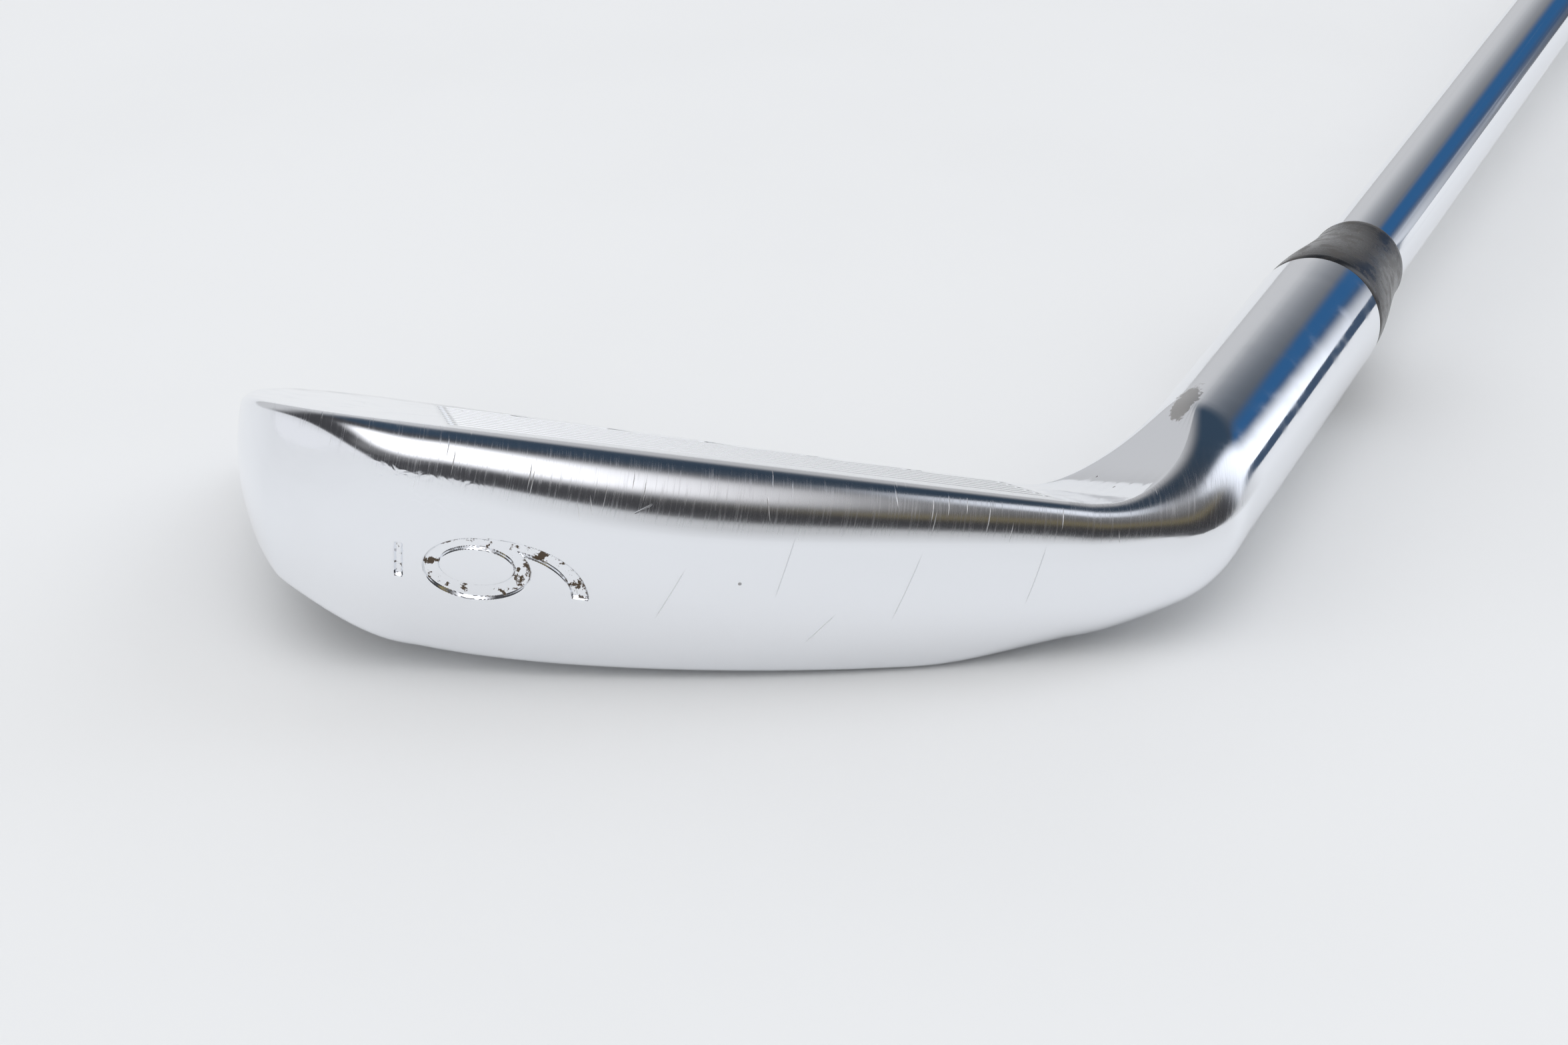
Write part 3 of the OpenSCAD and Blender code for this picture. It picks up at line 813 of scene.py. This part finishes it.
def head_material():
    """Polished chrome plate with a blasted scoring area, scratches (a painted glint on those of the
    leading edge), nicks and old paint in the numeral.
    """
    s = Surface("head_chrome", CHROME, 0.06, 1.0)
    place = s.place()
    lead, blasted, pressed = s.mask("lead"), s.mask("blasted"), s.mask("pressed")
    x_place, _, z_place = s.parts(place)
    lead = s.times(lead, s.ramp(z_place, 17, 9))
    toward_heel = s.ramp(x_place, 66, 28)
    haze = s.noise(place, 0.35, 4)
    s.blend("Roughness", 0.14, s.ramp(haze, 0.45, 0.75))
    # Fine marks over the leading edge, where the turf meets it; their lighter colour is a painted glint
    fine = s.scratches(place, (0, 0, 6), 0.35, 9, 0.16, 0.55)
    cross = s.scratches(place, (0, 0, -14), 0.5, 12, 0.13, 0.4)
    edge_wear_and_glint = s.times(s.top(fine, cross), lead)
    grain = s.times(s.ramp(s.noise(s.turned(place, (0, 0, 4), (0.12, 3, 3)), 1, 2), 0.45, 0.8), lead)
    s.blend("Roughness", 0.16, lead)
    s.blend("Roughness", 0.23, s.times(lead, toward_heel))
    s.blend("Roughness", 0.44, s.times(grain, 0.6))
    s.blend("Roughness", 0.55, edge_wear_and_glint)
    # The leading edge is painted a darker grey towards the heel
    s.paint((0.5, 0.5, 0.51), s.times(lead, toward_heel, 0.75))
    # The leading edge's scratches are painted lighter than the chrome: a painted glint
    s.paint((0.95, 0.95, 0.95), s.times(edge_wear_and_glint, 0.8))
    # A few longer scratches anywhere, and those seen on the sole
    long_one = s.scratches(place, (0, 0, 24), 3.5, 46, 0.035, 0.4)
    long_two = s.scratches(place, (20, 0, -31), 4.5, 60, 0.03, 0.35)
    marks = s.top(long_one, long_two)
    for start, end in SOLE_SCRATCHES:
        marks = s.top(marks, s.line(place, start, end, 0.16))
    s.blend("Roughness", 0.4, s.times(marks, 0.8))
    s.paint((0.55, 0.56, 0.58), s.times(marks, 0.5))
    # Small dark nicks and pits
    distance, chance = s.cells(place, 0.42)
    nicks = s.times(s.ramp(distance, 0.09, 0.04), s.ramp(chance[1], 0.1, 0.08))
    s.paint((0.2, 0.19, 0.18), s.times(nicks, 0.8))
    s.blend("Roughness", 0.5, nicks)
    # Blasted scoring area
    sand = s.noise(place, 7, 3)
    s.blend("Roughness", 0.16, blasted)
    s.paint((0.74, 0.75, 0.77), s.times(blasted, 0.6))
    # Plating worn off beside the bend
    patch = worn_patch(s, place)
    s.paint((0.52, 0.5, 0.47), s.times(patch, 0.75))
    s.blend("Roughness", 0.4, patch)
    # Paint left in the numeral
    heavy = s.plus(s.times(s.ramp(x_place, 52.5, 50.2), 0.1), s.times(s.ramp(x_place, 58.2, 59.0), 0.06))
    flecks = s.ramp(s.plus(s.noise(place, 1.1, 5, 0.65), heavy), 0.6, 0.64)
    flecks = s.times(flecks, s.ramp(pressed, 0.25, 0.7))
    s.paint((0.075, 0.05, 0.028), flecks)
    s.blend("Metallic", 0.0, s.times(flecks, 0.9))
    s.blend("Roughness", 0.55, flecks)
    waves = s.noise(place, 0.12, 1.5, 0.4, 0.6)
    s.bump(s.times(waves, s.math("SUBTRACT", 1, blasted)), 0.00005, 0.3)
    s.bump(s.times(s.noise(place, 0.55, 1, 0.4, 2.5), dented_area(s, place)), 0.00012, 0.5)
    s.bump(s.times(sand, blasted), 0.00001, 0.3)
    s.bump(s.top(edge_wear_and_glint, marks, nicks), -0.00002, 0.6)
    return s.material


def dented_area(s, place):
    """Around the shallow dings between the numeral and the leading edge."""
    x, y, z = s.parts(place)
    along = s.times(s.ramp(x, 54, 57), s.ramp(x, 66, 63))
    return s.times(along, s.ramp(y, -3.6, -2.4), s.ramp(y, 2.2, 1.2), s.ramp(z, 6, 4))


def worn_patch(s, place):
    """A ragged patch along the hosel where the plating has gone."""
    made = s.node("Mapping", vector_type="TEXTURE")
    s.fill(made.inputs["Vector"], place)
    made.inputs["Location"].default_value = WORN_AT
    made.inputs["Rotation"].default_value = (0, -math.pi / 2 + LIE, 0)
    made.inputs["Scale"].default_value = (1.5, 1.5, 4)
    away = s.node("VectorMath", operation="LENGTH")
    s.fill(away.inputs[0], made.outputs[0])
    near = s.ramp(away.outputs["Value"], 1.4, 0.3)
    return s.ramp(s.plus(s.times(near, 0.55), s.noise(place, 0.9, 4, 0.6)), 0.74, 0.86)


def ferrule_material():
    """Black turned plastic, rubbed grey and brown on its shoulder."""
    s = Surface("ferrule_plastic", (0.014, 0.014, 0.015), 0.22)
    place = s.place()
    worn = s.ramp(s.noise(place, 0.55, 5, 0.6), 0.42, 0.72)
    s.paint((0.05, 0.044, 0.039), worn)
    s.blend("Roughness", 0.42, worn)
    lathe = s.noise(s.vector("MULTIPLY", place, (0.05, 0.05, 6)), 1, 2)
    scuffs = s.scratches(place, (0, 0, 15), 0.8, 14, 0.08, 0.5)
    s.paint((0.16, 0.15, 0.14), s.times(scuffs, 0.5))
    s.bump(lathe, 0.00003, 0.5)
    s.bump(scuffs, -0.00002, 0.5)
    return s.material


def shaft_material():
    """Bright chrome tube with a faint drawn grain along it."""
    s = Surface("shaft_chrome", CHROME, 0.05, 1.0)
    place = s.place()
    grain = s.noise(s.vector("MULTIPLY", place, (3, 3, 0.02)), 1, 3)
    s.blend("Roughness", 0.16, s.ramp(grain, 0.45, 0.8))
    marks = s.scratches(s.turned(place, (90, 0, 0)), (0, 0, 20), 2.5, 40, 0.04, 0.35)
    s.blend("Roughness", 0.4, marks)
    s.paint((0.6, 0.61, 0.63), s.times(marks, 0.4))
    s.bump(grain, 0.000004, 0.4)
    s.bump(marks, -0.00001, 0.5)
    return s.material


def rubber_material(name):
    """Dull black rubber with a fine moulded grain, dust and shiny hand wear."""
    s = Surface(name, (0.018, 0.018, 0.019), 0.78)
    place = s.place()
    shine = s.ramp(s.noise(place, 0.05, 3), 0.45, 0.7)
    s.blend("Roughness", 0.55, shine)
    dust = s.ramp(s.noise(place, 0.4, 5, 0.65), 0.55, 0.8)
    s.paint((0.07, 0.068, 0.064), s.times(dust, 0.5))
    distance, _ = s.cells(place, 1.6)
    s.bump(s.ramp(distance, 0.1, 0.5), 0.00012, 0.6)
    s.bump(s.noise(place, 5, 3), 0.00004, 0.5)
    return s.material


def cad_material(name, color, roughness, metallic, spot, grain):
    """A finish for a hidden CAD solid, which has no place attribute: object coordinates are metres."""
    s = Surface(name, color, roughness, metallic)
    place = s.vector("MULTIPLY", s.node("TexCoord").outputs["Object"], (1000, 1000, 1000))
    s.paint(spot, s.ramp(s.noise(place, grain, 4), 0.45, 0.75))
    s.blend("Roughness", min(1, roughness * 1.4), s.ramp(s.noise(place, grain * 2, 3), 0.4, 0.7))
    s.bump(s.noise(place, grain * 4, 3), 0.00005, 0.5)
    return s.material


def dress(node, material):
    """Gives a CAD node its material."""
    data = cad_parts[node].data
    data.materials.clear()
    data.materials.append(material)


# ---------------------------------------------------------------- camera, floor and light
CAMERA_AT = ORIGIN + Vector((-0.20458, -0.05886, 0.11380))
CAMERA_HEADING, CAMERA_DOWN, CAMERA_ROLL = math.radians(23.905), math.radians(27.366), math.radians(1.867)
LENS_MM, SENSOR_MM = 63.6, 36.0


def make_camera():
    """Low over the table and close to the head, looking at the sole and up the shaft."""
    data = bpy.data.cameras.new("camera")
    data.sensor_width = SENSOR_MM
    data.lens = LENS_MM
    data.clip_start = 0.01
    camera = bpy.data.objects.new("camera", data)
    turn = Matrix.Rotation(CAMERA_HEADING - math.pi / 2, 4, "Z")
    turn = turn @ Matrix.Rotation(math.pi / 2 - CAMERA_DOWN, 4, "X") @ Matrix.Rotation(CAMERA_ROLL, 4, "Z")
    camera.matrix_world = Matrix.Translation(CAMERA_AT) @ turn
    bpy.context.scene.collection.objects.link(camera)
    bpy.context.scene.camera = camera
    return camera


def flat_card(name, centre, facing, up, width, height, material):
    """A flat rectangle that faces along a direction."""
    facing = Vector(facing).normalized()
    side = Vector(up).cross(facing).normalized()
    rise = facing.cross(side)
    corners = [Vector(centre) + side * i * width / 2 + rise * j * height / 2
               for i, j in ((-1, -1), (1, -1), (1, 1), (-1, 1))]
    mesh = bpy.data.meshes.new(name)
    mesh.from_pydata(corners, [], [(0, 1, 2, 3)])
    mesh.materials.append(material)
    card = bpy.data.objects.new(name, mesh)
    bpy.context.scene.collection.objects.link(card)
    return card


def make_floor():
    """A wide sheet of pale paper."""
    s = Surface("floor_paper", FLOOR_COLOR, 0.55)
    place = s.node("TexCoord").outputs["Object"]
    s.paint([v * 0.985 for v in FLOOR_COLOR], s.ramp(s.noise(place, 14, 3), 0.4, 0.7))
    return flat_card("floor", (0, 0, 0), (0, 0, 1), (0, 1, 0), 60, 60, s.material)


def make_dark_card():
    """A low black strip beside the hosel, which draws the dark line in the chrome."""
    s = Surface("card_black", (0.03, 0.06, 0.11), 0.8)
    place = s.node("TexCoord").outputs["Object"]
    s.paint((0.04, 0.07, 0.13), s.ramp(s.noise(place, 30, 3), 0.4, 0.7))
    at = Vector((ORIGIN.x + CARD_OFF[0], ORIGIN.y + CARD_OFF[1], CARD_HEIGHT / 2))
    facing = Vector((-CARD_OFF[0], -CARD_OFF[1], 0))
    card = flat_card("dark_card", at, facing, (0, 0, 1), CARD_WIDTH, CARD_HEIGHT, s.material)
    card.visible_camera = False
    card.visible_shadow = False
    card.visible_diffuse = False
    return card


def direction(heading, elevation):
    heading, elevation = math.radians(heading), math.radians(elevation)
    return Vector((math.cos(elevation) * math.cos(heading), math.cos(elevation) * math.sin(heading),
                   math.sin(elevation)))


def sky_panel(room, look, heading, elevation, width, height, soft):
    """How much of a panel of the room shows along a direction; sizes and soft edges in degrees."""
    ahead = direction(heading, elevation)
    side = Vector((-math.sin(math.radians(heading)), math.cos(math.radians(heading)), 0))
    rise = ahead.cross(side)
    depth = room.dot(look, ahead)
    u = room.math("ABSOLUTE", room.math("ARCTAN2", room.dot(look, side), depth))
    v = room.math("ABSOLUTE", room.math("ARCTAN2", room.dot(look, rise), depth))
    edge = math.radians(soft)
    wide, tall = math.radians(width / 2), math.radians(height / 2)
    return room.times(room.ramp(u, wide + edge, wide - edge), room.ramp(v, tall + edge, tall - edge))


class Room(Surface):
    """The studio round the table, as the world's background."""

    def __init__(self, color):
        self.world = bpy.data.worlds.new("room")
        self.world.use_nodes = True
        self.tree = self.world.node_tree
        self.shader = self.tree.nodes["Background"]
        self.shader.inputs["Color"].default_value = (*color, 1)

    def dot(self, a, b):
        made = self.node("VectorMath", operation="DOT_PRODUCT")
        self.fill(made.inputs[0], a)
        self.fill(made.inputs[1], b)
        return made.outputs["Value"]

    def lay(self, color, amount):
        made = self.node("Mix", data_type="RGBA")
        self.fill(made.inputs["Factor"], amount)
        socket = self.shader.inputs["Color"]
        if socket.is_linked:
            self.fill(made.inputs["A"], socket.links[0].from_socket)
        else:
            made.inputs["A"].default_value = socket.default_value
        made.inputs["B"].default_value = (*color, 1)
        self.fill(socket, made.outputs["Result"])


# Panels of the room: heading, elevation, width, height and soft edge in degrees, and colour
ROOM_DARK = (0.055, 0.055, 0.06)
ROOM_PANELS = [
    (135, 2, 150, 16, 5, (0.82, 0.83, 0.86)),
    (42, 14, 92, 46, 17, (0.58, 0.585, 0.60)),
    (-6, 46, 64, 40, 10, (0.035, 0.06, 0.095)),
    (-15, 14, 12, 26, 4, (0.03, 0.11, 0.26)),
    (-80, 42, 80, 9, 5, (0.3, 0.25, 0.13)),
    (-110, 66, 130, 26, 12, (0.2, 0.2, 0.205)),
    (-34, 30, 20, 66, 4, (1.4, 1.47, 1.6)),
    (-150, 72, 30, 50, 12, (1.9, 1.9, 1.95)),
]
FLOOR_COLOR = (0.84, 0.85, 0.855)
# Where the dark card stands from the heel, and its size, in metres
CARD_OFF, CARD_WIDTH, CARD_HEIGHT = (0.22, -0.10), 0.06, 0.024


def make_room():
    room = Room(ROOM_DARK)
    look = room.node("TexCoord").outputs["Generated"]
    for *shape, color in ROOM_PANELS:
        room.lay(color, sky_panel(room, look, *shape))
    bpy.context.scene.world = room.world


def make_sun(name, heading, elevation, spread, strength):
    """A broad soft lamp that lights the table but isn't seen in the chrome."""
    data = bpy.data.lights.new(name, "SUN")
    data.energy = strength
    data.angle = math.radians(spread)
    lamp = bpy.data.objects.new(name, data)
    lamp.rotation_euler = direction(heading, elevation).to_track_quat("Z", "Y").to_euler()
    lamp.visible_glossy = False
    bpy.context.scene.collection.objects.link(lamp)
    return lamp


def make_lights():
    make_room()
    make_sun("key", 150, 30, 80, 1.2)
    make_sun("ceiling", 0, 90, 175, 1.3)


# ---------------------------------------------------------------- build

make_head(head_material())
make_ferrule(ferrule_material())
make_shaft(shaft_material())
make_grip(rubber_material("grip_rubber"))
make_cap(rubber_material("cap_rubber"))
dress("hosel_epoxy", cad_material("epoxy_resin", (0.42, 0.33, 0.17), 0.3, 0.0, (0.3, 0.22, 0.1), 0.4))
dress("tip_weight", cad_material("weight_brass", (0.71, 0.52, 0.22), 0.28, 1.0, (0.5, 0.36, 0.16), 0.7))
dress("grip_tape", cad_material("tape_paper", (0.62, 0.52, 0.35), 0.8, 0.0, (0.55, 0.45, 0.3), 0.5))
make_camera()
make_floor()
make_dark_card()
make_lights()
bpy.context.scene.view_settings.view_transform = "Standard"
